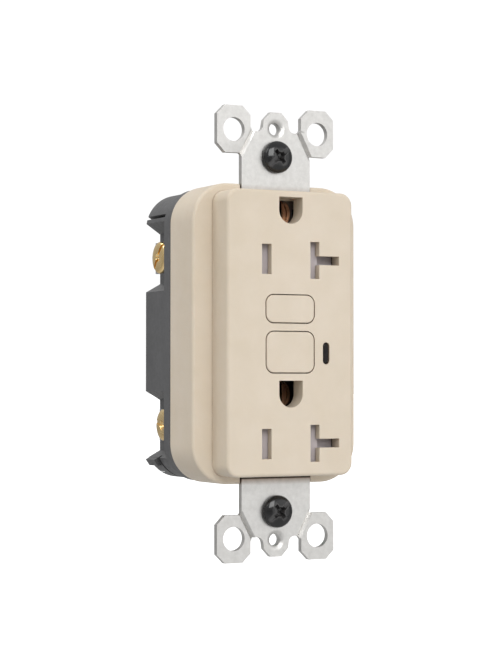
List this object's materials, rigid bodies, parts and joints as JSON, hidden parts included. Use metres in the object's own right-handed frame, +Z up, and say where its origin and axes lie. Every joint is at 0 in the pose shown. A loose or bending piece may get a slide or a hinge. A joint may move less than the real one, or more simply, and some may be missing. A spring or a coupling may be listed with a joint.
{
  "type": "gfci outlet",
  "caption": "Flat-faced ground-fault duplex outlet on a metal mounting strap, with test and reset buttons, an indicator window, side screw terminals and a working trip mechanism.",
  "frame": {"origin": "centre of the mounting strap's back face, the plane that seats on the wall box", "axes": "+X right seen from the front, +Y into the wall, +Z up"},
  "size_m": [0.0432, 0.0356, 0.1068],
  "materials": {
    "almond_cover": "satin",
    "almond_reset_button": "satin",
    "almond_test_button": "satin",
    "black_guide": "matte",
    "black_oxide": "gloss black",
    "brass": "polished",
    "capacitor_case": "film case",
    "chip_body": "matte",
    "dark_grey_inner": "matte",
    "dark_grey_plastic": "satin",
    "enamelled_wire": "copper wire",
    "galvanised_strap": "satin",
    "green_board": "satin",
    "green_led": "clear tinted",
    "green_plated": "green plated",
    "grey_fibre": "matte",
    "grey_shutter": "satin",
    "nickel": "satin",
    "nylon_bobbin": "satin",
    "phosphor_bronze": "satin",
    "resistor_body": "coated",
    "smoked_lens": "gloss",
    "spring_steel": "satin",
    "toroid_tape": "satin tape",
    "varistor_coat": "epoxy",
    "white_acetal": "satin"
  },
  "bodies": {
    "housing": {"circuit_board": "green_board", "controller_chip": "chip_body", "filter_capacitor": "capacitor_case", "front_cover": "almond_cover", "ground_contact_lower": "phosphor_bronze", "ground_contact_upper": "phosphor_bronze", "ground_terminal": "spring_steel", "hot_contact": "phosphor_bronze", "housing_screw_lower_left": "spring_steel", "housing_screw_lower_right": "spring_steel", "housing_screw_upper_left": "spring_steel", "housing_screw_upper_right": "spring_steel", "indicator_led": "green_led", "indicator_lens": "smoked_lens", "line_hot_terminal": "phosphor_bronze", "line_neutral_terminal": "phosphor_bronze", "load_hot_terminal": "phosphor_bronze", "load_neutral_terminal": "phosphor_bronze", "middle_housing": "dark_grey_inner", "mounting_strap": "galvanised_strap", "neutral_coil": "toroid_tape", "neutral_contact": "phosphor_bronze", "plunger_spring": "spring_steel", "rear_body": "dark_grey_plastic", "reset_spring": "spring_steel", "screw_retainer_lower": "grey_fibre", "screw_retainer_upper": "grey_fibre", "sense_coil": "toroid_tape", "shutter_guide_lower": "black_guide", "shutter_guide_upper": "black_guide", "shutter_spring_lower": "spring_steel", "shutter_spring_upper": "spring_steel", "silicon_switch": "chip_body", "solenoid_bobbin": "nylon_bobbin", "solenoid_coil": "enamelled_wire", "surge_varistor": "varistor_coat", "test_resistor": "resistor_body"},
    "test_button": {"test_button": "almond_test_button"},
    "reset_button": {"reset_button": "almond_reset_button", "reset_pin": "spring_steel"},
    "test_blade": {"test_blade": "phosphor_bronze"},
    "contact_lifter": {"contact_lifter": "white_acetal", "hot_bridge": "phosphor_bronze", "neutral_bridge": "phosphor_bronze"},
    "latch_plate": {"latch_plate": "spring_steel"},
    "solenoid_plunger": {"solenoid_plunger": "spring_steel"},
    "shutter_upper": {"shutter_upper": "grey_shutter"},
    "shutter_lower": {"shutter_lower": "grey_shutter"},
    "mounting_screw_upper": {"mounting_screw_upper": "black_oxide"},
    "mounting_screw_lower": {"mounting_screw_lower": "black_oxide"},
    "load_hot_clamp": {"load_hot_clamp": "spring_steel"},
    "load_hot_screw": {"load_hot_screw": "brass"},
    "line_hot_clamp": {"line_hot_clamp": "spring_steel"},
    "line_hot_screw": {"line_hot_screw": "brass"},
    "load_neutral_clamp": {"load_neutral_clamp": "spring_steel"},
    "load_neutral_screw": {"load_neutral_screw": "nickel"},
    "line_neutral_clamp": {"line_neutral_clamp": "spring_steel"},
    "line_neutral_screw": {"line_neutral_screw": "nickel"},
    "ground_clamp": {"ground_clamp": "spring_steel"},
    "ground_screw": {"ground_screw": "green_plated"}
  },
  "joints": [
    {"name": "test_press", "type": "slide", "parent": "housing", "child": "test_button", "axis": [0, 1, 0], "range_m": [0, 0.0012], "stiffness_N_per_m": 600},
    {"name": "reset_press", "type": "slide", "parent": "housing", "child": "reset_button", "axis": [0, 1, 0], "range_m": [-0.001, 0.0012], "stiffness_N_per_m": 600, "deforming": ["reset_spring"]},
    {"name": "test_blade_bend", "type": "hinge", "parent": "housing", "child": "test_blade", "pos_m": [-0.0002, 0.00245, 0.0133], "axis": [1, 0, 0], "range_deg": [0, 9.5]},
    {"name": "contact_travel", "type": "slide", "parent": "housing", "child": "contact_lifter", "axis": [0, 1, 0], "range_m": [0, 0.0012]},
    {"name": "plunger_pull", "type": "slide", "parent": "housing", "child": "solenoid_plunger", "axis": [0, 0, -1], "range_m": [0, 0.0015], "stiffness_N_per_m": 200, "deforming": ["plunger_spring"]},
    {"name": "latch_release", "type": "slide", "parent": "contact_lifter", "child": "latch_plate", "axis": [0, 0, -1], "range_m": [0, 0.0015]},
    {"name": "shutter_upper_open", "type": "slide", "parent": "housing", "child": "shutter_upper", "axis": [1, 0, 0], "range_m": [0, 0.0032], "stiffness_N_per_m": 60, "deforming": ["shutter_spring_upper"]},
    {"name": "shutter_lower_open", "type": "slide", "parent": "housing", "child": "shutter_lower", "axis": [1, 0, 0], "range_m": [0, 0.0032], "stiffness_N_per_m": 60, "deforming": ["shutter_spring_lower"]},
    {"name": "mounting_screw_upper_turn", "type": "hinge", "parent": "housing", "child": "mounting_screw_upper", "pos_m": [0, -0.0018, 0.04167], "axis": [0, -1, 0], "continuous": true},
    {"name": "mounting_screw_lower_turn", "type": "hinge", "parent": "housing", "child": "mounting_screw_lower", "pos_m": [0, -0.0018, -0.04167], "axis": [0, -1, 0], "continuous": true},
    {"name": "load_hot_clamp_travel", "type": "slide", "parent": "housing", "child": "load_hot_clamp", "axis": [-1, 0, 0], "range_m": [-0.0012, 0.0012]},
    {"name": "load_hot_screw_turn", "type": "hinge", "parent": "load_hot_clamp", "child": "load_hot_screw", "pos_m": [-0.0195, 0.0208, 0.01865], "axis": [-1, 0, 0], "range_deg": [-545, 545]},
    {"name": "line_hot_clamp_travel", "type": "slide", "parent": "housing", "child": "line_hot_clamp", "axis": [-1, 0, 0], "range_m": [-0.0001, 0.0024]},
    {"name": "line_hot_screw_turn", "type": "hinge", "parent": "line_hot_clamp", "child": "line_hot_screw", "pos_m": [-0.0184, 0.0208, -0.02166], "axis": [-1, 0, 0], "range_deg": [-46, 1089]},
    {"name": "load_neutral_clamp_travel", "type": "slide", "parent": "housing", "child": "load_neutral_clamp", "axis": [1, 0, 0], "range_m": [-0.0001, 0.0024]},
    {"name": "load_neutral_screw_turn", "type": "hinge", "parent": "load_neutral_clamp", "child": "load_neutral_screw", "pos_m": [0.0184, 0.0208, 0.01865], "axis": [1, 0, 0], "range_deg": [-46, 1089]},
    {"name": "line_neutral_clamp_travel", "type": "slide", "parent": "housing", "child": "line_neutral_clamp", "axis": [1, 0, 0], "range_m": [-0.0001, 0.0024]},
    {"name": "line_neutral_screw_turn", "type": "hinge", "parent": "line_neutral_clamp", "child": "line_neutral_screw", "pos_m": [0.0184, 0.0208, -0.02166], "axis": [1, 0, 0], "range_deg": [-46, 1089]},
    {"name": "ground_clamp_travel", "type": "slide", "parent": "housing", "child": "ground_clamp", "axis": [0, 0, -1], "range_m": [-0.0001, 0.0024]},
    {"name": "ground_screw_turn", "type": "hinge", "parent": "ground_clamp", "child": "ground_screw", "pos_m": [0.007, 0.0205, -0.0341], "axis": [0, 0, -1], "range_deg": [-46, 1089]}
  ],
  "couplings": [
    {"joint": "test_blade_bend", "follows": "test_press", "rad_per_m": 131},
    {"joint": "latch_release", "follows": "plunger_pull", "ratio": 1},
    {"joint": "load_hot_screw_turn", "follows": "load_hot_clamp_travel", "rad_per_m": 7913.3},
    {"joint": "line_hot_screw_turn", "follows": "line_hot_clamp_travel", "rad_per_m": 7913.3},
    {"joint": "load_neutral_screw_turn", "follows": "load_neutral_clamp_travel", "rad_per_m": 7913.3},
    {"joint": "line_neutral_screw_turn", "follows": "line_neutral_clamp_travel", "rad_per_m": 7913.3},
    {"joint": "ground_screw_turn", "follows": "ground_clamp_travel", "rad_per_m": 7913.3}
  ]
}
